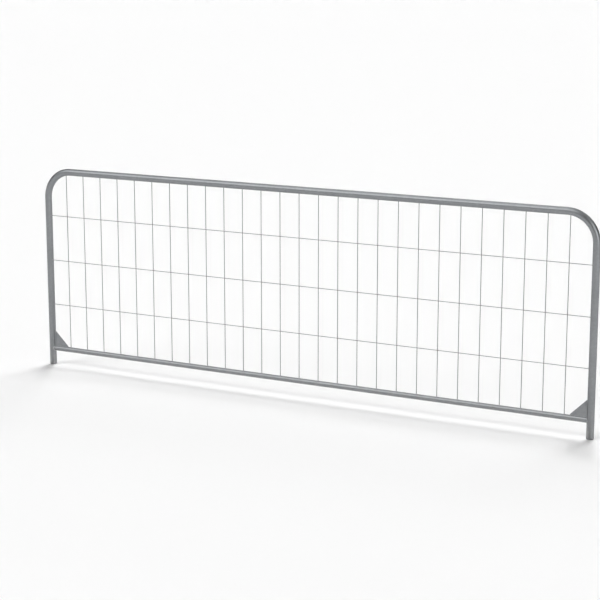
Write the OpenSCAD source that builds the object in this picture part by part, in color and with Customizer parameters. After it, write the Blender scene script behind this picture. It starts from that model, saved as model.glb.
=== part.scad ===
// Temporary fence panel: a tube frame on two legs, a bottom rail, two corner gussets and a welded wire mesh.
// X runs along the panel, Y through it and Z up, in millimetres.
// The origin is on the ground, midway between the two legs.

/* [Frame] */
// Height of the panel, from the ground to the top of the top tube
panel_height = 1200; // [900:10:2100]
// Width of the panel, over the outsides of the two posts
panel_width = 3436; // [2000:4:3600]
// Outside diameter of the posts and the top tube
frame_dia = 40; // [34:1:48]
// Wall of the posts and the top tube
frame_wall = 1.5; // [1:0.1:3]
// Radius of the two top bends, at the middle of the tube
bend_radius = 160; // [100:5:300]

/* [Bottom rail] */
// Outside diameter of the bottom rail
rail_dia = 30; // [20:1:33]
// Wall of the bottom rail
rail_wall = 1.5; // [1:0.1:3]
// Height of the bottom rail's axis above the ground
rail_height = 100; // [60:5:300]

/* [Gussets] */
// Length of a gusset along the rail, from the face of the post
gusset_length = 92; // [50:1:120]
// Height of a gusset up the post, from the top of the rail
gusset_height = 90; // [50:1:120]
// Thickness of a gusset plate
gusset_thick = 4; // [3:0.5:6]
// Width of the blunt end at each tip of a gusset
gusset_nose = 4; // [2:0.5:8]

/* [Mesh] */
// Number of upright wires
upright_count = 27; // [11:1:33]
// Diameter of an upright wire
upright_dia = 4; // [3:0.5:6]
// Number of level wires
level_count = 3; // [1:1:6]
// Diameter of a level wire
level_dia = 3.5; // [3:0.5:6]
// Distance from the tip of the left gusset to the first upright wire
left_gap = 21; // [12:1:60]
// Distance from the last upright wire to the tip of the right gusset
right_gap = 31; // [12:1:60]
// Rise of the level wires above an even split between the rail and the top tube
level_rise = 3; // [-20:1:20]
// Depth to which the level wires are pressed into the upright wires where they cross
press_depth = 0.5; // [0.2:0.1:1]

/* [Welds] */
// Leg of the bead round each end of the rail
rail_bead = 3; // [2:0.5:5]
// Leg of the beads along a gusset
gusset_bead = 3; // [2:0.5:5]
// Leg of the bead round each end of a wire
wire_bead = 1.5; // [1:0.5:3]

/* [Hidden] */
$fn = 96;
tube_grey = [0.55, 0.57, 0.58];
plate_grey = [0.52, 0.54, 0.55];
wire_grey = [0.66, 0.68, 0.69];
bead_grey = [0.48, 0.49, 0.50];

frame_r = frame_dia / 2;
frame_bore_r = frame_r - frame_wall;
rail_r = rail_dia / 2;
rail_bore_r = rail_r - rail_wall;
upright_r = upright_dia / 2;
level_r = level_dia / 2;

post_x = panel_width / 2 - frame_r;
top_z = panel_height - frame_r;
bend_x = post_x - bend_radius;
bend_z = top_z - bend_radius;
rail_top = rail_height + rail_r;
// Angle by which a bend that trims wires and beads runs on past its ends
trim_run_on = 10;

// The mesh: uprights on the panel's middle plane, level wires against the front of them
post_face_x = post_x - frame_r;
gusset_tip_x = post_face_x - gusset_length;
first_upright_x = left_gap - gusset_tip_x;
last_upright_x = gusset_tip_x - right_gap;
upright_pitch = (last_upright_x - first_upright_x) / (upright_count - 1);
level_pitch = (top_z - rail_height) / (level_count + 1);
level_y = press_depth - upright_r - level_r;

function upright_x(i) = first_upright_x + (i - 1) * upright_pitch;
function level_z(i) = rail_height + i * level_pitch + level_rise;

// How far a place along the panel, or up it, lies past the start of a bend
function past_bend_x(x) = max(abs(x) - bend_x, 0);
function past_bend_z(z) = max(z - bend_z, 0);

// Height of the frame at a place along the panel, on the circle of a radius about the bend's centre
function frame_z(x, radius) = bend_z + sqrt(radius * radius - past_bend_x(x) * past_bend_x(x));
// Distance of the frame from the middle of the panel, at a height, along the tube's axis
function frame_x(z) = bend_x + sqrt(bend_radius * bend_radius - past_bend_z(z) * past_bend_z(z));

function two_digits(i) = i < 10 ? str("0", i) : str(i);
function upright_name(i) = str("upright_wire_", two_digits(i));
function level_name(i) = str("level_wire_", i);

// A round bar along X, between two places on the panel
module bar_along(radius, from_x, to_x) {
    translate([from_x, 0, 0])
        rotate([0, 90, 0])
            cylinder(r = radius, h = to_x - from_x);
}

// What a bend sweeps, with a flat section drawn about the tube's axis, run on past both ends of its quarter turn
module bend(run_on = 0) {
    translate([bend_x, 0, bend_z])
        rotate([90, 0, 0])
            rotate(-run_on)
                rotate_extrude(angle = 90 + 2 * run_on)
                    translate([bend_radius, 0])
                        children();
}

module left_copy() {
    mirror([1, 0, 0])
        children();
}

module frame_section() {
    difference() {
        circle(r = frame_r);
        circle(r = frame_bore_r);
    }
}

// Whole bars of the tubes' outsides, which trim what is welded to them
module post_bar() {
    translate([post_x, 0, 0])
        cylinder(r = frame_r, h = top_z);
}

module bend_bar() {
    bend(trim_run_on)
        circle(r = frame_r);
}

// The frame above a place along the panel, either straight or bent
module bar_above(x) {
    if (past_bend_x(x) == 0)
        translate([x, 0, top_z])
            bar_along(frame_r, -frame_dia, frame_dia);
    else if (x < 0)
        left_copy()
            bend_bar();
    else
        bend_bar();
}

// The frame's right side at a height, either straight or bent
module bar_beside(z) {
    if (past_bend_z(z) == 0)
        post_bar();
    else
        bend_bar();
}

module rail_bar() {
    translate([0, 0, rail_height])
        bar_along(rail_r, -post_x, post_x);
}

module post() {
    color(tube_grey)
        translate([post_x, 0, 0])
            linear_extrude(bend_z)
                frame_section();
}

module top_tube() {
    color(tube_grey) {
        translate([-bend_x, 0, top_z])
            rotate([0, 90, 0])
                linear_extrude(2 * bend_x)
                    frame_section();
        bend()
            frame_section();
        left_copy()
            bend()
                frame_section();
    }
}

module bottom_rail() {
    color(tube_grey)
        difference() {
            rail_bar();
            translate([0, 0, rail_height])
                bar_along(rail_bore_r, -post_x, post_x);
            post_bar();
            left_copy()
                post_bar();
        }
}

// A right-angled plate with blunt tips, on the panel's middle plane, before its edges are coped
module gusset_blank() {
    tip_z = rail_top + gusset_height;
    translate([0, gusset_thick / 2, 0])
        rotate([90, 0, 0])
            linear_extrude(gusset_thick)
                polygon([
                    [post_x, rail_height],
                    [post_x, tip_z],
                    [post_face_x - gusset_nose, tip_z],
                    [gusset_tip_x, rail_top + gusset_nose],
                    [gusset_tip_x, rail_height]
                ]);
}

module gusset() {
    color(plate_grey)
        difference() {
            gusset_blank();
            post_bar();
            rail_bar();
        }
}

module upright_bar(i) {
    x = upright_x(i);
    translate([x, 0, rail_height])
        cylinder(r = upright_r, h = frame_z(x, bend_radius) - rail_height);
}

module upright_wire(i) {
    color(wire_grey)
        difference() {
            upright_bar(i);
            rail_bar();
            bar_above(upright_x(i));
        }
}

module level_bar(i) {
    reach = frame_x(level_z(i));
    translate([0, level_y, level_z(i)])
        bar_along(level_r, -reach, reach);
}

module level_wire(i) {
    color(wire_grey)
        difference() {
            level_bar(i);
            bar_beside(level_z(i));
            left_copy()
                bar_beside(level_z(i));
            for (k = [1 : upright_count])
                upright_bar(k);
        }
}

// A bead that follows the saddle between the end of the rail and the post
module rail_weld() {
    bead_r = frame_r + rail_bead;
    color(bead_grey)
        difference() {
            intersection() {
                translate([0, 0, rail_height])
                    bar_along(rail_r + rail_bead, post_x - bead_r, post_x);
                translate([post_x, 0, 0])
                    cylinder(r = bead_r, h = bend_z);
            }
            post_bar();
            rail_bar();
            gusset_blank();
        }
}

// One face's two beads: up the post, and along the rail
module gusset_bead_pair() {
    face_y = gusset_thick / 2;
    difference() {
        translate([post_face_x, face_y, rail_top + rail_bead])
            linear_extrude(gusset_height - rail_bead)
                polygon([[-gusset_bead, 0], [gusset_bead, 0], [gusset_bead, 2 * gusset_bead]]);
        post_bar();
    }
    difference() {
        translate([gusset_tip_x, face_y, rail_top])
            rotate([90, 0, 90])
                linear_extrude(gusset_length - rail_bead)
                    polygon([[0, gusset_bead], [0, -gusset_bead], [2 * gusset_bead, -gusset_bead]]);
        rail_bar();
    }
}

module gusset_welds() {
    color(bead_grey) {
        gusset_bead_pair();
        mirror([0, 1, 0])
            gusset_bead_pair();
    }
}

module top_wire_welds() {
    color(bead_grey)
        for (i = [1 : upright_count])
            difference() {
                translate([upright_x(i), 0, frame_z(upright_x(i), bend_radius - frame_r)])
                    sphere(r = upright_r + wire_bead);
                upright_bar(i);
                bar_above(upright_x(i));
            }
}

module rail_wire_welds() {
    color(bead_grey)
        for (i = [1 : upright_count])
            difference() {
                translate([upright_x(i), 0, rail_top])
                    sphere(r = upright_r + wire_bead);
                upright_bar(i);
                rail_bar();
            }
}

// Beads at one post, where each level wire meets the front half of the tube
module post_wire_beads() {
    reach_in = sqrt(frame_r * frame_r - level_y * level_y);
    for (i = [1 : level_count])
        difference() {
            translate([frame_x(level_z(i)) - reach_in, level_y, level_z(i)])
                rotate([0, 90, 0])
                    sphere(r = level_r + wire_bead);
            level_bar(i);
            bar_beside(level_z(i));
        }
}

module post_wire_welds() {
    color(bead_grey) {
        post_wire_beads();
        left_copy()
            post_wire_beads();
    }
}

left_copy() post();  // left_post
post();  // right_post
top_tube();
bottom_rail();
left_copy() gusset();  // left_gusset
gusset();  // right_gusset
for (i = [1 : upright_count])
    upright_wire(i);
for (i = [1 : level_count])
    level_wire(i);
left_copy() rail_weld();  // left_rail_weld
rail_weld();  // right_rail_weld
left_copy() gusset_welds();  // left_gusset_welds
gusset_welds();  // right_gusset_welds
top_wire_welds();
rail_wire_welds();
post_wire_welds();
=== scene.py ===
"""Temporary fence panel: a galvanised tube frame with a bottom rail, corner gussets and a wire mesh."""

import math

import bmesh
import bpy
from mathutils import Matrix, Vector


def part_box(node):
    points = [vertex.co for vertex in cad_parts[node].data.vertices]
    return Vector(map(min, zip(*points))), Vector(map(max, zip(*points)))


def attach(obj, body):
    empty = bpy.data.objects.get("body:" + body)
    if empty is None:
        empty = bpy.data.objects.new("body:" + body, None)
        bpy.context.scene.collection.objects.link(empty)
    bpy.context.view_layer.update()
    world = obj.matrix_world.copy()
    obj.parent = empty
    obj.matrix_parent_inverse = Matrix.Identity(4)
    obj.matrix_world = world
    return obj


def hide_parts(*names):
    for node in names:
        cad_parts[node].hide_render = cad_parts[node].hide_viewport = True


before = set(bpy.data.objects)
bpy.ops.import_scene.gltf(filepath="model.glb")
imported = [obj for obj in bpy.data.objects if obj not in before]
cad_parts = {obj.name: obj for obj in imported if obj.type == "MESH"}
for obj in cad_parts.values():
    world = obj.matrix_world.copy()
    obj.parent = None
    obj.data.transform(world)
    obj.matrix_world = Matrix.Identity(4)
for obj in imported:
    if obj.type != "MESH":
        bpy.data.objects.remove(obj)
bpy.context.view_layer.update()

MM = 0.001
BODY = "root"
QUARTER_TURN = math.pi / 2
FULL_TURN = 2 * math.pi
X_AXIS = Vector((1, 0, 0))
Y_AXIS = Vector((0, 1, 0))
Z_AXIS = Vector((0, 0, 1))


def middle(node, axis):
    """Where a node's middle is, along an axis."""
    low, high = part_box(node)
    return (low[axis] + high[axis]) / 2


def round_radius(node, *axes):
    """Radius of a round node: the larger half of its box across its length, to a tenth of a millimetre."""
    low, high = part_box(node)
    return round(max(high[axis] - low[axis] for axis in axes) / 2, 4)


# Sizes taken from the frame, in metres
FRAME_R = round_radius("right_post", 0, 1)
POST_X = middle("right_post", 0)
BEND_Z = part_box("right_post")[1].z
TOP_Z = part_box("top_tube")[1].z - FRAME_R
BEND_R = TOP_Z - BEND_Z
BEND_X = POST_X - BEND_R
RAIL_R = round_radius("bottom_rail", 1, 2)
RAIL_Z = middle("bottom_rail", 2)
PLATE_LOW, PLATE_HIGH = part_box("right_gusset")
PLATE_T = PLATE_HIGH.y - PLATE_LOW.y
UPRIGHTS = sorted(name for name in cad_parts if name.startswith("upright_wire_"))
LEVELS = sorted(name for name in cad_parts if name.startswith("level_wire_"))
UPRIGHT_XS = [middle(name, 0) for name in UPRIGHTS]
LEVEL_ZS = [middle(name, 2) for name in LEVELS]
LEVEL_Y = middle(LEVELS[0], 1)
UPRIGHT_R = round_radius(UPRIGHTS[0], 0, 1)
LEVEL_R = round_radius(LEVELS[0], 1, 2)

# Sizes that only the looks need
FRAME_WALL = 1.5 * MM
RAIL_WALL = 1.5 * MM
PLATE_NOSE = 4 * MM
PLATE_EDGE = 0.6 * MM
RIM_EDGE = 0.3 * MM
RIM_STEPS = 2
TUBE_SIDES = 64
RAIL_SIDES = 48
WIRE_SIDES = 14
BEND_STEPS = 40
SHARP_ANGLE = math.radians(35)
# How far an end is sunk into the tube that it meets
SEAT = 0.15 * MM
# Gaps under which two places count as the same, and under which a place counts as a wire's end
TOUCH = 0.001 * MM
END_REACH = 1 * MM

# Crossings of wires: places of the rings beside a crossing, the swell there, and the lean to the other wire
CROSSING_RINGS = [-3.2 * MM, -1.8 * MM, 0.0, 1.8 * MM, 3.2 * MM]
NUGGET_SWELL = 0.10
NUGGET_LEAN = 0.35 * MM

# Seam beads: radius of the bead, how far its middle stands off the corner, and its ripples
SEAM_BEAD = 1.9 * MM
SEAM_STAND = 0.5 * MM
SEAM_SIDES = 10
RIPPLE_LENGTH = 2.4 * MM
RIPPLE_STEPS = 5
RIPPLE_DEPTH = 0.14
# Square of the share of a straight bead's width that is left at its ends
BLUNT_END = 0.12

# Dabs of weld round the wires' ends: an outline from the wire out to the tube, in shares of the dab's leg
DAB_LEG = 1.5 * MM
DAB_STEPS = 20
DAB_TOP = 1.5
DAB_FOOT = -0.20
DAB_SLOPE = [(0.30, 1.25), (0.70, 0.80), (1.00, 0.30), (1.10, DAB_FOOT)]
# Waves that make a dab uneven: their depth, their number round the dab, and how fast its phase turns them
DAB_HEIGHT_WAVES = [(0.10, 2, 1.0), (0.06, 3, 2.3)]
DAB_WIDTH_WAVES = [(0.12, 1, 1.7)]
# Steps of the phase from one dab to the next, so that no two look alike
RAIL_DAB_PHASE = 1.3
TOP_DAB_PHASE = 1.9
POST_DAB_PHASE = 2.1
# Phase of the first dab under the top tube
TOP_DAB_START = 0.7

# Zinc: shares of the crystals, of a cloudy drift and of a fine grain in its tone, gloss and height
CRYSTAL_TONE = 0.35
CLOUD_TONE = 1.3
MIDDLE_TONE = 0.5
CRYSTAL_GLOSS = 0.5
GLOSS_RANGE = (0.35, 1.15)
CRYSTAL_HEIGHT = 0.25
CLOUD_DETAIL = 5.0
CLOUD_ROUGHNESS = 0.6
GRAIN_SCALE = 900.0
GRAIN_DETAIL = 2.0
BUMP_STRENGTH = 0.25
# Share of a mirror's gleam that dull zinc keeps where it is seen almost edge on
GRAZING = 0.72

# Dust and painted light low on the panel: the height that they reach, their patches, and what they do to
# the zinc where they lie thickest. The pale colour is partly dust and partly painted light, which lifts the
# low zinc where it mirrors the shadowed floor.
DUST_AND_PAINTED_LIGHT_REACH = 0.16
DUST_AND_PAINTED_LIGHT_SCALE = 28.0
DUST_AND_PAINTED_LIGHT_DETAIL = 6.0
DUST_AND_PAINTED_LIGHT_ROUGHNESS = 0.65
DUST_AND_PAINTED_LIGHT_RANGE = (0.42, 0.68)
DUST_AND_PAINTED_LIGHT_LEAST = 0.15
DUST_AND_PAINTED_LIGHT_COVER = 0.50
DUST_AND_PAINTED_LIGHT_COLOUR = (0.44, 0.42, 0.405)
DUST_AND_PAINTED_LIGHT_DULLNESS = 0.12
DUST_AND_PAINTED_LIGHT_METALLIC = 0.9


# Where the tubes' outsides are

def post_face(y):
    """Distance from the panel's middle to a post's inner face, at a depth."""
    return POST_X - math.sqrt(FRAME_R ** 2 - y ** 2)


def rail_face(y):
    """Height of the rail's upper face, at a depth."""
    return RAIL_Z + math.sqrt(RAIL_R ** 2 - y ** 2)


def top_face(x, y):
    """Height of the top tube's underside, at a place along the panel and a depth."""
    past = max(abs(x) - BEND_X, 0)
    inner = BEND_R - math.sqrt(FRAME_R ** 2 - y ** 2)
    return BEND_Z + math.sqrt(inner ** 2 - past ** 2)


# Making pieces

def finish_piece(bm, name, finish):
    """Turns a bmesh into a smooth piece that rides on the panel and stands for the node of its name."""
    bmesh.ops.recalc_face_normals(bm, faces=bm.faces)
    mesh = bpy.data.meshes.new(name + "_shape")
    bm.to_mesh(mesh)
    bm.free()
    mesh.shade_smooth()
    mesh.set_sharp_from_angle(angle=SHARP_ANGLE)
    piece = bpy.data.objects.new(name + "_look", mesh)
    bpy.context.scene.collection.objects.link(piece)
    mesh.materials.append(finish)
    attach(piece, BODY)
    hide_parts(name)


def vertices_of(geometry):
    """The vertices in an operator's result."""
    return [item for item in geometry if isinstance(item, bmesh.types.BMVert)]


def faces_of(geometry):
    """The faces in an operator's result."""
    return [item for item in geometry if isinstance(item, bmesh.types.BMFace)]


def edges_at(verts):
    """The edges that meet some vertices, each once."""
    return list(dict.fromkeys(edge for vert in verts for edge in vert.link_edges))


def faces_at(verts):
    """The faces that meet some vertices, each once."""
    return list(dict.fromkeys(face for vert in verts for face in vert.link_faces))


def tube_section(bm, outer, wall, sides, place):
    """A flat ring, the cut end of a tube, put in place by a matrix."""
    rings = []
    for radius in (outer, outer - wall):
        made = bmesh.ops.create_circle(bm, segments=sides, radius=radius, matrix=place)
        rings += edges_at(made["verts"])
    return bmesh.ops.bridge_loops(bm, edges=rings)["faces"]


def drop_inner(bm, faces):
    """Deletes a section that now stands inside a run; a run's first section stays as its end."""
    inner = [face for face in faces if any(len(edge.link_faces) > 2 for edge in face.edges)]
    bmesh.ops.delete(bm, geom=inner, context="FACES")


def run_straight(bm, faces, along):
    """Runs a section on in a straight line and returns its new end."""
    made = bmesh.ops.extrude_face_region(bm, geom=faces)["geom"]
    bmesh.ops.translate(bm, vec=along, verts=vertices_of(made))
    drop_inner(bm, faces)
    return faces_of(made)


def run_bend(bm, faces, centre):
    """Runs a section on round one of the frame's bends and returns its new end."""
    made = bmesh.ops.spin(
        bm, geom=faces, cent=centre, axis=Y_AXIS, angle=QUARTER_TURN, steps=BEND_STEPS, use_merge=False
    )
    drop_inner(bm, faces)
    return faces_of(made["geom_last"])


def spin_round(bm, geometry, centre, axis, steps):
    """Spins an outline once round an axis, into a closed ring."""
    bmesh.ops.spin(bm, geom=geometry, cent=centre, axis=axis, angle=FULL_TURN, steps=steps, use_merge=True)


def round_edges(bm, chosen, width):
    """Rounds the edges that a test picks."""
    bm.edges.ensure_lookup_table()
    picked = [edge for edge in bm.edges if chosen(edge)]
    bmesh.ops.bevel(
        bm, geom=picked, offset=width, affect="EDGES", segments=RIM_STEPS, profile=0.5, material=-1
    )


# Shader node helpers

def add_node(tree, kind, **values):
    """A new node with some of its properties set."""
    node = tree.nodes.new(kind)
    for name, value in values.items():
        setattr(node, name, value)
    return node


def link(tree, source, target):
    """Joins an output to an input."""
    tree.links.new(source, target)


def new_group(name, inputs, outputs):
    """A shader node group with named sockets, and its two ends."""
    tree = bpy.data.node_groups.new(name, "ShaderNodeTree")
    for label, kind in inputs:
        tree.interface.new_socket(label, in_out="INPUT", socket_type=kind)
    for label, kind in outputs:
        tree.interface.new_socket(label, in_out="OUTPUT", socket_type=kind)
    return tree, tree.nodes.new("NodeGroupInput"), tree.nodes.new("NodeGroupOutput")


def stretch(tree, source, low, high, to_low, to_high):
    """Maps a range of a number to another range, held at its ends."""
    node = add_node(tree, "ShaderNodeMapRange", clamp=True)
    link(tree, source, node.inputs["Value"])
    for label, value in (("From Min", low), ("From Max", high), ("To Min", to_low), ("To Max", to_high)):
        node.inputs[label].default_value = value
    return node.outputs["Result"]


def combine(tree, operation, first, second):
    """One Math node; either side may be a socket or a number."""
    node = add_node(tree, "ShaderNodeMath", operation=operation)
    for socket, value in zip(node.inputs, (first, second)):
        if isinstance(value, bpy.types.NodeSocket):
            link(tree, value, socket)
        else:
            socket.default_value = value
    return node.outputs[0]


# Finishes

def zinc_spangle():
    """The crystals of a zinc coat: patches of slightly different tone and gloss, with a cloudy drift."""
    tree, start, end = new_group(
        "Zinc spangle",
        [("Vector", "NodeSocketVector"), ("Size", "NodeSocketFloat"), ("Cloud", "NodeSocketFloat")],
        [("Tone", "NodeSocketFloat"), ("Gloss", "NodeSocketFloat"), ("Height", "NodeSocketFloat")],
    )
    crystals = add_node(tree, "ShaderNodeTexVoronoi", feature="F1", distance="EUCLIDEAN")
    crystals.inputs["Randomness"].default_value = 1.0
    link(tree, start.outputs["Vector"], crystals.inputs["Vector"])
    link(tree, start.outputs["Size"], crystals.inputs["Scale"])
    shade = add_node(tree, "ShaderNodeSeparateColor")
    link(tree, crystals.outputs["Color"], shade.inputs["Color"])
    cloud = add_node(tree, "ShaderNodeTexNoise")
    cloud.inputs["Detail"].default_value = CLOUD_DETAIL
    cloud.inputs["Roughness"].default_value = CLOUD_ROUGHNESS
    link(tree, start.outputs["Vector"], cloud.inputs["Vector"])
    link(tree, start.outputs["Cloud"], cloud.inputs["Scale"])
    grain = add_node(tree, "ShaderNodeTexNoise")
    grain.inputs["Scale"].default_value = GRAIN_SCALE
    grain.inputs["Detail"].default_value = GRAIN_DETAIL
    link(tree, start.outputs["Vector"], grain.inputs["Vector"])

    patch = combine(tree, "SUBTRACT", shade.outputs["Red"], MIDDLE_TONE)
    drift = combine(tree, "SUBTRACT", cloud.outputs["Fac"], MIDDLE_TONE)
    patch_tone = combine(tree, "MULTIPLY", patch, CRYSTAL_TONE)
    drift_tone = combine(tree, "MULTIPLY", drift, CLOUD_TONE)
    tone = combine(tree, "ADD", patch_tone, drift_tone)
    link(tree, combine(tree, "ADD", tone, MIDDLE_TONE), end.inputs["Tone"])

    patch_gloss = combine(tree, "MULTIPLY", shade.outputs["Green"], CRYSTAL_GLOSS)
    gloss = combine(tree, "ADD", patch_gloss, cloud.outputs["Fac"])
    link(tree, stretch(tree, gloss, *GLOSS_RANGE, 0.0, 1.0), end.inputs["Gloss"])

    patch_height = combine(tree, "MULTIPLY", shade.outputs["Blue"], CRYSTAL_HEIGHT)
    height = combine(tree, "ADD", patch_height, grain.outputs["Fac"])
    link(tree, combine(tree, "ADD", height, cloud.outputs["Fac"]), end.inputs["Height"])
    return tree


def dust_and_painted_light():
    """Where dull grey dust gathers low on the panel, in patches; the same mask carries painted light that
    lifts the low zinc where it mirrors the shadowed floor.
    """
    tree, start, end = new_group(
        "Dust and painted light", [("Vector", "NodeSocketVector")], [("Mask", "NodeSocketFloat")]
    )
    place = add_node(tree, "ShaderNodeSeparateXYZ")
    link(tree, start.outputs["Vector"], place.inputs["Vector"])
    patch = add_node(tree, "ShaderNodeTexNoise")
    patch.inputs["Scale"].default_value = DUST_AND_PAINTED_LIGHT_SCALE
    patch.inputs["Detail"].default_value = DUST_AND_PAINTED_LIGHT_DETAIL
    patch.inputs["Roughness"].default_value = DUST_AND_PAINTED_LIGHT_ROUGHNESS
    link(tree, start.outputs["Vector"], patch.inputs["Vector"])
    share = combine(tree, "DIVIDE", place.outputs["Z"], DUST_AND_PAINTED_LIGHT_REACH)
    low = stretch(tree, share, 0.0, 1.0, 1.0, 0.0)
    speckle = stretch(tree, patch.outputs["Fac"], *DUST_AND_PAINTED_LIGHT_RANGE, DUST_AND_PAINTED_LIGHT_LEAST, 1.0)
    link(tree, combine(tree, "MULTIPLY", low, speckle), end.inputs["Mask"])
    return tree


SPANGLE = zinc_spangle()
DUST_AND_PAINTED_LIGHT_GROUP = dust_and_painted_light()


def zinc_finish(name, light, dark, roughness, crystal_scale, cloud_scale, grain_depth):
    """A galvanised finish: two greys mixed by the spangle, duller where dust lies, and paler low down,
    partly from dust and partly from painted light.
    """
    finish = bpy.data.materials.new(name)
    finish.use_nodes = True
    tree = finish.node_tree
    shader = tree.nodes["Principled BSDF"]
    shader.inputs["Specular Tint"].default_value = (GRAZING, GRAZING, GRAZING, 1)
    place = add_node(tree, "ShaderNodeTexCoord").outputs["Object"]
    spangle = add_node(tree, "ShaderNodeGroup", node_tree=SPANGLE)
    spangle.inputs["Size"].default_value = crystal_scale
    spangle.inputs["Cloud"].default_value = cloud_scale
    link(tree, place, spangle.inputs["Vector"])
    dust_and_lift = add_node(tree, "ShaderNodeGroup", node_tree=DUST_AND_PAINTED_LIGHT_GROUP)
    link(tree, place, dust_and_lift.inputs["Vector"])

    zinc = add_node(tree, "ShaderNodeMix", data_type="RGBA")
    link(tree, spangle.outputs["Tone"], zinc.inputs["Factor"])
    zinc.inputs["A"].default_value = (*dark, 1)
    zinc.inputs["B"].default_value = (*light, 1)
    # Paler low down: partly dust, partly painted light that offsets the shadowed floor mirrored in the zinc
    dusty_and_lifted = add_node(tree, "ShaderNodeMix", data_type="RGBA")
    link(tree, combine(tree, "MULTIPLY", dust_and_lift.outputs["Mask"], DUST_AND_PAINTED_LIGHT_COVER), dusty_and_lifted.inputs["Factor"])
    link(tree, zinc.outputs["Result"], dusty_and_lifted.inputs["A"])
    dusty_and_lifted.inputs["B"].default_value = (*DUST_AND_PAINTED_LIGHT_COLOUR, 1)
    link(tree, dusty_and_lifted.outputs["Result"], shader.inputs["Base Color"])

    satin = stretch(tree, spangle.outputs["Gloss"], 0.0, 1.0, *roughness)
    dull = combine(tree, "MULTIPLY", dust_and_lift.outputs["Mask"], DUST_AND_PAINTED_LIGHT_DULLNESS)
    link(tree, combine(tree, "ADD", satin, dull), shader.inputs["Roughness"])
    metallic = stretch(tree, dust_and_lift.outputs["Mask"], 0.0, 1.0, 1.0, DUST_AND_PAINTED_LIGHT_METALLIC)
    link(tree, metallic, shader.inputs["Metallic"])

    bump = add_node(tree, "ShaderNodeBump")
    bump.inputs["Strength"].default_value = BUMP_STRENGTH
    bump.inputs["Distance"].default_value = grain_depth
    link(tree, spangle.outputs["Height"], bump.inputs["Height"])
    link(tree, bump.outputs["Normal"], shader.inputs["Normal"])
    return finish


TUBE_ZINC = zinc_finish(
    "Galvanised tube",
    light=(0.303, 0.314, 0.325),
    dark=(0.238, 0.247, 0.256),
    roughness=(0.30, 0.44),
    crystal_scale=95.0,
    cloud_scale=8.0,
    grain_depth=0.12 * MM,
)
PLATE_ZINC = zinc_finish(
    "Galvanised plate",
    light=(0.328, 0.338, 0.352),
    dark=(0.258, 0.267, 0.280),
    roughness=(0.34, 0.48),
    crystal_scale=80.0,
    cloud_scale=14.0,
    grain_depth=0.12 * MM,
)
WIRE_ZINC = zinc_finish(
    "Galvanised wire",
    light=(0.215, 0.213, 0.215),
    dark=(0.165, 0.163, 0.165),
    roughness=(0.34, 0.46),
    crystal_scale=300.0,
    cloud_scale=20.0,
    grain_depth=0.05 * MM,
)
# The weld beads are painted paler than the zinc that they join: painted light that offsets the shade in the
# corners where they sit.
PAINTED_LIGHT_BEAD_ZINC = zinc_finish(
    "Weld bead painted paler against corner shade",
    light=(0.520, 0.535, 0.550),
    dark=(0.400, 0.412, 0.424),
    roughness=(0.42, 0.60),
    crystal_scale=350.0,
    cloud_scale=60.0,
    grain_depth=0.15 * MM,
)


# Tubes

def is_foot_rim(edge):
    """True where a post's wall meets its flat foot."""
    on_ground = all(abs(vert.co.z) < TOUCH for vert in edge.verts)
    return on_ground and edge.calc_face_angle(0) > SHARP_ANGLE


def make_post(side):
    """A post: a straight tube from the ground to the start of the bend, its foot's rims rounded."""
    bm = bmesh.new()
    place = Matrix.Translation((side * POST_X, 0, 0))
    section = tube_section(bm, FRAME_R, FRAME_WALL, TUBE_SIDES, place)
    run_straight(bm, section, (0, 0, BEND_Z))
    round_edges(bm, is_foot_rim, RIM_EDGE)
    return bm


def make_top_tube():
    """The top tube: bent up from the left post, along the top, and down to the right post."""
    bm = bmesh.new()
    place = Matrix.Translation((-POST_X, 0, BEND_Z))
    end = tube_section(bm, FRAME_R, FRAME_WALL, TUBE_SIDES, place)
    end = run_bend(bm, end, (-BEND_X, 0, BEND_Z))
    end = run_straight(bm, end, (2 * BEND_X, 0, 0))
    run_bend(bm, end, (BEND_X, 0, BEND_Z))
    return bm


def make_rail():
    """The bottom rail: a tube whose ends are coped to the posts."""
    bm = bmesh.new()
    place = Matrix.Translation((-POST_X, 0, RAIL_Z)) @ Matrix.Rotation(QUARTER_TURN, 4, "Y")
    section = tube_section(bm, RAIL_R, RAIL_WALL, RAIL_SIDES, place)
    run_straight(bm, section, (2 * POST_X, 0, 0))
    for vert in bm.verts:
        vert.co.x = math.copysign(post_face(vert.co.y) + SEAT, vert.co.x)
    return bm


# Gussets

def make_gusset(side):
    """A corner plate with blunt tips, its free edges rounded."""
    bm = bmesh.new()
    tip_x = PLATE_LOW.x
    tip_z = PLATE_HIGH.z
    inner_x = post_face(0) + SEAT
    inner_z = rail_face(0) - SEAT
    outline = [
        (inner_x, inner_z),
        (inner_x, tip_z),
        (post_face(0) - PLATE_NOSE, tip_z),
        (tip_x, rail_face(0) + PLATE_NOSE),
        (tip_x, inner_z),
    ]
    corners = [bm.verts.new((side * x, -PLATE_T / 2, z)) for x, z in outline]
    plate = bm.faces.new(corners)
    run_straight(bm, [plate], (0, PLATE_T, 0))

    def is_free(edge):
        ends = [vert.co for vert in edge.verts]
        across = abs(ends[0].y - ends[1].y) > TOUCH
        on_post = all(abs(abs(end.x) - inner_x) < TOUCH for end in ends)
        on_rail = all(abs(end.z - inner_z) < TOUCH for end in ends)
        return not (across or on_post or on_rail)

    round_edges(bm, is_free, PLATE_EDGE)
    return bm


# Mesh wires

def draw_wire(bm, radius, places, ring_at):
    """A round wire drawn through rings at the given places; ring_at(place) is the matrix of a ring."""
    first = ring_at(places[0])
    made = bmesh.ops.create_circle(bm, segments=WIRE_SIDES, radius=radius, cap_ends=True, matrix=first)
    end = faces_at(made["verts"])
    for before, after in zip(places, places[1:]):
        shift = ring_at(after).translation - ring_at(before).translation
        end = run_straight(bm, end, shift)


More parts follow.
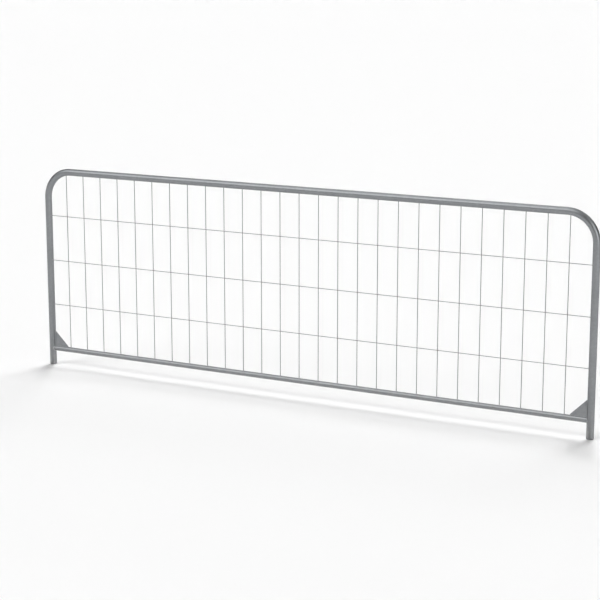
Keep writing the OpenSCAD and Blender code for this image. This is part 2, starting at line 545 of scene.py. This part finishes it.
def wire_places(crossings, first, last):
    """The ends of a wire, and a few rings round each crossing."""
    return [first] + [place + step for place in crossings for step in CROSSING_RINGS] + [last]


def crossing_share(place, crossings):
    """1 at a crossing, falling to 0 beside it."""
    gap = min(abs(place - crossing) for crossing in crossings)
    return max(0.0, 1 - (gap / CROSSING_RINGS[-1]) ** 2)


def make_upright(index):
    """An upright wire, its ends coped to the rail and the top tube, pressed a little flat at crossings."""
    bm = bmesh.new()
    x = UPRIGHT_XS[index]
    places = wire_places(LEVEL_ZS, RAIL_Z, TOP_Z)
    draw_wire(bm, UPRIGHT_R, places, lambda z: Matrix.Translation((x, 0, z)))
    for vert in bm.verts:
        if vert.co.z < places[0] + END_REACH:
            vert.co.z = rail_face(vert.co.y) - SEAT
        elif vert.co.z > places[-1] - END_REACH:
            vert.co.z = top_face(vert.co.x, vert.co.y) + SEAT
        else:
            press = crossing_share(vert.co.z, LEVEL_ZS)
            # 1 at the wire's front, which meets the level wire, and 0 at its back
            front = 0.5 - vert.co.y / (2 * UPRIGHT_R)
            vert.co.x = x + (vert.co.x - x) * (1 + NUGGET_SWELL * press)
            vert.co.y -= NUGGET_LEAN * press * front
    return bm


def make_level(index):
    """A level wire, its ends coped to the posts, with a fused nugget at each crossing."""
    bm = bmesh.new()
    z = LEVEL_ZS[index]
    places = wire_places(UPRIGHT_XS, -POST_X, POST_X)
    turn = Matrix.Rotation(QUARTER_TURN, 4, "Y")
    draw_wire(bm, LEVEL_R, places, lambda x: Matrix.Translation((x, LEVEL_Y, z)) @ turn)
    for vert in bm.verts:
        if abs(vert.co.x) > POST_X - END_REACH:
            vert.co.x = math.copysign(post_face(vert.co.y) + SEAT, vert.co.x)
        else:
            press = crossing_share(vert.co.x, UPRIGHT_XS)
            vert.co.z = z + (vert.co.z - z) * (1 + NUGGET_SWELL * press)
            vert.co.y += NUGGET_LEAN * press
    return bm


# Seam beads

def ripple(distance):
    """Swell of a bead at a distance along it: overlapping scales with sharp valleys."""
    return 1 + RIPPLE_DEPTH * (abs(math.sin(math.pi * distance / RIPPLE_LENGTH)) - 0.5)


def make_rail_weld(side):
    """The bead round the rail's end: spun about the rail, then bent to the saddle on the post."""
    bm = bmesh.new()
    ring_r = RAIL_R + SEAM_STAND
    ripples = round(FULL_TURN * ring_r / RIPPLE_LENGTH)
    centre = Vector((0, 0, RAIL_Z))
    place = Matrix.Translation(centre + ring_r * Z_AXIS) @ Matrix.Rotation(QUARTER_TURN, 4, "X")
    made = bmesh.ops.create_circle(bm, segments=SEAM_SIDES, radius=SEAM_BEAD, matrix=place)
    outline = made["verts"] + edges_at(made["verts"])
    spin_round(bm, outline, centre, X_AXIS, RIPPLE_STEPS * ripples)
    for vert in bm.verts:
        out = Vector((0, vert.co.y, vert.co.z - RAIL_Z)).normalized()
        core = centre + ring_r * out
        turns = math.atan2(out.y, out.z) / FULL_TURN
        vert.co = core + (vert.co - core) * ripple(turns * ripples * RIPPLE_LENGTH)
        vert.co.x = side * (post_face(core.y) - SEAM_STAND + vert.co.x)
    return bm


def straight_bead(bm, start, along, length):
    """A bead in a straight line, rippled, with rounded ends."""
    steps = RIPPLE_STEPS * round(length / RIPPLE_LENGTH)
    turn = Z_AXIS.rotation_difference(along).to_matrix().to_4x4()
    place = Matrix.Translation(start) @ turn
    made = bmesh.ops.create_circle(bm, segments=SEAM_SIDES, radius=SEAM_BEAD, cap_ends=True, matrix=place)
    end = faces_at(made["verts"])
    verts = set(made["verts"])
    for _ in range(steps):
        end = run_straight(bm, end, along * (length / steps))
        verts |= {vert for face in end for vert in face.verts}
    for vert in verts:
        travel = (vert.co - start).dot(along)
        core = start + travel * along
        from_end = min(travel, length - travel)
        short = max(0.0, 1 - from_end / SEAM_BEAD)
        round_off = math.sqrt(max(BLUNT_END, 1 - short ** 2))
        vert.co = core + (vert.co - core) * (ripple(travel) * round_off)


def make_gusset_welds(side):
    """Four beads: up the post and along the rail, on both faces of the plate."""
    bm = bmesh.new()
    corner_x = post_face(PLATE_T / 2)
    corner_z = rail_face(PLATE_T / 2)
    rise = PLATE_HIGH.z - corner_z - SEAM_BEAD
    reach = corner_x - PLATE_LOW.x - SEAM_BEAD
    for face in (-1, 1):
        y = face * (PLATE_T / 2 + SEAM_STAND)
        foot = Vector((side * (corner_x - SEAM_STAND), y, corner_z + SEAM_BEAD))
        straight_bead(bm, foot, Z_AXIS, rise)
        heel = Vector((side * (corner_x - SEAM_BEAD), y, corner_z + SEAM_STAND))
        straight_bead(bm, heel, -side * X_AXIS, reach)
    return bm


# Dabs of weld

def uneven(waves, turn, phase):
    """A share near 1 that goes up and down round a dab."""
    return 1 + sum(depth * math.sin(count * turn + pace * phase) for depth, count, pace in waves)


def weld_dab(bm, wire_r, place, seat, phase):
    """A small collar of weld round a wire's end, spun about the wire and let down on to the tube.
    place puts the wire's axis along Z, and seat(spot) is where a spot comes to lie along that axis."""
    inner = wire_r - SEAT
    slope = [(wire_r + out * DAB_LEG, up) for out, up in DAB_SLOPE]
    profile = [(inner, DAB_TOP)] + slope + [(inner, DAB_FOOT)]
    line = [bm.verts.new((radius, 0, up * DAB_LEG)) for radius, up in profile]
    edges = [bm.edges.new(pair) for pair in zip(line, line[1:] + line[:1])]
    before = set(bm.verts) - set(line)
    spin_round(bm, line + edges, (0, 0, 0), Z_AXIS, DAB_STEPS)
    dab = [vert for vert in bm.verts if vert not in before]
    for vert in dab:
        turn = math.atan2(vert.co.y, vert.co.x)
        radius = math.hypot(vert.co.x, vert.co.y)
        if radius > wire_r:
            grown = wire_r + (radius - wire_r) * uneven(DAB_WIDTH_WAVES, turn, phase)
            vert.co.x *= grown / radius
            vert.co.y *= grown / radius
        vert.co.z *= uneven(DAB_HEIGHT_WAVES, turn, phase)
        vert.co.z = seat(vert.co)
    bmesh.ops.transform(bm, matrix=place, verts=dab)


def make_rail_wire_welds():
    """A dab round the foot of every upright wire."""
    bm = bmesh.new()
    for index, x in enumerate(UPRIGHT_XS):
        place = Matrix.Translation((x, 0, 0))
        phase = RAIL_DAB_PHASE * index
        weld_dab(bm, UPRIGHT_R, place, lambda spot: rail_face(spot.y) + spot.z, phase)
    return bm


def make_top_wire_welds():
    """A dab round the head of every upright wire."""
    bm = bmesh.new()
    for index, x in enumerate(UPRIGHT_XS):
        place = Matrix.Translation((x, 0, 0))
        phase = TOP_DAB_START + TOP_DAB_PHASE * index
        weld_dab(bm, UPRIGHT_R, place, lambda spot: top_face(x + spot.x, spot.y) - spot.z, phase)
    return bm


def make_post_wire_welds():
    """A dab round both ends of every level wire."""
    bm = bmesh.new()
    for index, z in enumerate(LEVEL_ZS):
        for side in (-1, 1):
            turn = Matrix.Rotation(side * QUARTER_TURN, 4, "Y")
            place = Matrix.Translation((0, LEVEL_Y, z)) @ turn
            phase = POST_DAB_PHASE * index + side
            weld_dab(bm, LEVEL_R, place, lambda spot: post_face(LEVEL_Y + spot.y) - spot.z, phase)
    return bm


for name, side in (("left", -1), ("right", 1)):
    finish_piece(make_post(side), f"{name}_post", TUBE_ZINC)
    finish_piece(make_gusset(side), f"{name}_gusset", PLATE_ZINC)
    finish_piece(make_rail_weld(side), f"{name}_rail_weld", PAINTED_LIGHT_BEAD_ZINC)
    finish_piece(make_gusset_welds(side), f"{name}_gusset_welds", PAINTED_LIGHT_BEAD_ZINC)
finish_piece(make_top_tube(), "top_tube", TUBE_ZINC)
finish_piece(make_rail(), "bottom_rail", TUBE_ZINC)
for index, name in enumerate(UPRIGHTS):
    finish_piece(make_upright(index), name, WIRE_ZINC)
for index, name in enumerate(LEVELS):
    finish_piece(make_level(index), name, WIRE_ZINC)
finish_piece(make_top_wire_welds(), "top_wire_welds", PAINTED_LIGHT_BEAD_ZINC)
finish_piece(make_rail_wire_welds(), "rail_wire_welds", PAINTED_LIGHT_BEAD_ZINC)
finish_piece(make_post_wire_welds(), "post_wire_welds", PAINTED_LIGHT_BEAD_ZINC)


# Floor, light and camera

FLOOR_HALF = 400.0
FLOOR_DROP = 0.2 * MM
FLOOR_TONE = 0.945

# The room's brightness at the ground and overhead, and how high it fades
WORLD_LOW = 1.0
WORLD_HIGH = 0.02
WORLD_RISE = 0.12

# Lamps by the share of a white floor's light that they give, their apparent size, their heading, which is 0
# in front of the panel and 90 at its right, and their height above the ground, these three in degrees.
# The first are only mirrored in the zinc. The others light what is dull, the floor and the dust, and cast
# the shadows.
ZINC_LAMPS = {
    "front_softbox": (0.265, 56, 320, 47),
    "front_wide_softbox": (0.095, 75, 315, 50),
    "front_low_softbox": (0.017, 28, 330, 24),
    "right_softbox": (0.112, 44, 60, 24),
    "right_low_softbox": (0.008, 16, 60, 6),
    "back_high_softbox": (0.262, 80, 165, 60),
    "back_left_softbox": (0.075, 32, 216, 45),
}
FLOOR_LAMPS = {
    "front_high_floor_lamp": (0.170, 26, 322, 51),
    "front_low_floor_lamp": (0.130, 38, 324, 34),
    "back_high_floor_lamp": (0.200, 24, 178, 55),
    "back_floor_lamp": (0.310, 34, 186, 37),
    "back_low_floor_lamp": (0.110, 14, 202, 21),
    "left_low_floor_lamp": (0.055, 8, 264, 7),
    "right_floor_lamp": (0.040, 30, 64, 42),
}

VIEW_AZIMUTH = math.radians(28.08)
VIEW_ELEVATION = math.radians(12.01)
VIEW_DISTANCE = 9.4544
VIEW_TARGET = Vector((0.0006, 0, 0.5643))
VIEW_FIELD = math.radians(20.0)
VIEW_REACH = 1000.0
SENSOR_WIDTH = 36.0


def direction(heading, height):
    """A unit vector towards a heading, which is 0 in front of the panel, and a height, in radians."""
    level = math.cos(height)
    return Vector((math.sin(heading) * level, -math.cos(heading) * level, math.sin(height)))


def make_floor():
    """A wide, dull, white floor just under the feet."""
    bm = bmesh.new()
    place = Matrix.Translation((0, 0, -FLOOR_DROP))
    bmesh.ops.create_grid(bm, x_segments=1, y_segments=1, size=FLOOR_HALF, matrix=place)
    mesh = bpy.data.meshes.new("floor_shape")
    bm.to_mesh(mesh)
    bm.free()
    floor = bpy.data.objects.new("floor", mesh)
    bpy.context.scene.collection.objects.link(floor)
    paint = bpy.data.materials.new("Pale floor")
    paint.use_nodes = True
    shader = paint.node_tree.nodes["Principled BSDF"]
    shader.inputs["Base Color"].default_value = (FLOOR_TONE, FLOOR_TONE, FLOOR_TONE, 1)
    shader.inputs["Roughness"].default_value = 1.0
    shader.inputs["Specular IOR Level"].default_value = 0.0
    mesh.materials.append(paint)


def make_lamp(name, share, width, heading, height, mirrored):
    """A far, soft lamp, which is either mirrored in the zinc or lights what is dull."""
    rise = math.radians(height)
    lamp = bpy.data.lights.new(name, "SUN")
    lamp.energy = share * math.pi / math.sin(rise)
    lamp.angle = math.radians(width)
    holder = bpy.data.objects.new(name, lamp)
    toward = direction(math.radians(heading), rise)
    holder.rotation_euler = toward.to_track_quat("Z", "Y").to_euler()
    holder.visible_diffuse = not mirrored
    holder.visible_glossy = mirrored
    bpy.context.scene.collection.objects.link(holder)


def make_world():
    """A dim room, pale near the ground."""
    world = bpy.data.worlds.new("Studio")
    world.use_nodes = True
    tree = world.node_tree
    back = tree.nodes["Background"]
    place = add_node(tree, "ShaderNodeTexCoord")
    height = add_node(tree, "ShaderNodeSeparateXYZ")
    link(tree, place.outputs["Generated"], height.inputs["Vector"])
    tone = stretch(tree, height.outputs["Z"], 0.0, WORLD_RISE, WORLD_LOW, WORLD_HIGH)
    link(tree, tone, back.inputs["Color"])
    bpy.context.scene.world = world


def make_camera():
    """The photo's view."""
    data = bpy.data.cameras.new("camera")
    data.sensor_width = SENSOR_WIDTH
    data.lens_unit = "FOV"
    data.angle = VIEW_FIELD
    data.clip_end = VIEW_REACH
    camera = bpy.data.objects.new("camera", data)
    camera.location = VIEW_TARGET + VIEW_DISTANCE * direction(VIEW_AZIMUTH, VIEW_ELEVATION)
    camera.rotation_euler = (QUARTER_TURN - VIEW_ELEVATION, 0, VIEW_AZIMUTH)
    bpy.context.scene.collection.objects.link(camera)
    bpy.context.scene.camera = camera


make_floor()
make_world()
for name, settings in ZINC_LAMPS.items():
    make_lamp(name, *settings, mirrored=True)
for name, settings in FLOOR_LAMPS.items():
    make_lamp(name, *settings, mirrored=False)
make_camera()
bpy.context.scene.view_settings.view_transform = "Standard"
